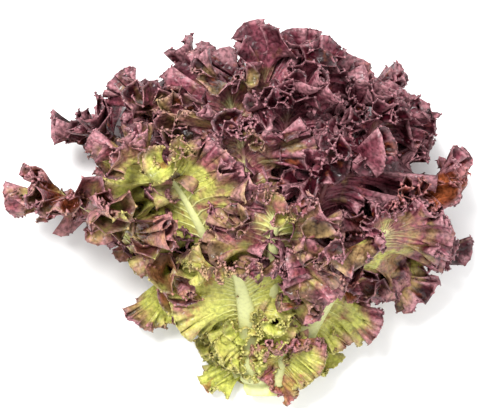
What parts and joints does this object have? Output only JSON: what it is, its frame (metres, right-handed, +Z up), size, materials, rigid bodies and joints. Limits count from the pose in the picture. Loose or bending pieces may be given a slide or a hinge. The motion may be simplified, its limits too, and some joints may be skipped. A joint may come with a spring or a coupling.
{
  "type": "lollo rosso lettuce",
  "caption": "Cut head of red frilled loose-leaf lettuce lying on its side: pale tapering stem, green ribbed leaf bases and dark red ruffled leaf edges, laid to be seen from above.",
  "frame": {"origin": "on the resting surface, under the middle of the head", "axes": "+Y from the cut stem to the leaf tips, +Z up from the resting surface, +X to the right for a viewer who looks down on the head with its cut stem towards them"},
  "size_m": [0.246, 0.1962, 0.1097],
  "materials": {
    "stem": "matt",
    "basal_leaf": "satin",
    "outer_leaf": "satin",
    "middle_leaf": "satin",
    "heart_leaf": "satin"
  },
  "bodies": {
    "root": {"cut_stem": "stem", "basal_leaf_01": "basal_leaf", "basal_leaf_02": "basal_leaf", "basal_leaf_03": "basal_leaf", "outer_leaf_01": "outer_leaf", "outer_leaf_02": "outer_leaf", "outer_leaf_03": "outer_leaf", "outer_leaf_04": "outer_leaf", "outer_leaf_05": "outer_leaf", "outer_leaf_06": "outer_leaf", "outer_leaf_07": "outer_leaf", "outer_leaf_08": "outer_leaf", "outer_leaf_09": "outer_leaf", "outer_leaf_10": "outer_leaf", "outer_leaf_11": "outer_leaf", "middle_leaf_01": "middle_leaf", "middle_leaf_02": "middle_leaf", "middle_leaf_03": "middle_leaf", "middle_leaf_04": "middle_leaf", "middle_leaf_05": "middle_leaf", "middle_leaf_06": "middle_leaf", "middle_leaf_07": "middle_leaf", "middle_leaf_08": "middle_leaf", "middle_leaf_09": "middle_leaf", "middle_leaf_10": "middle_leaf", "heart_leaf_01": "heart_leaf", "heart_leaf_02": "heart_leaf", "heart_leaf_03": "heart_leaf", "heart_leaf_04": "heart_leaf", "heart_leaf_05": "heart_leaf", "heart_leaf_06": "heart_leaf", "heart_leaf_07": "heart_leaf", "heart_leaf_08": "heart_leaf"}
  },
  "joints": []
}
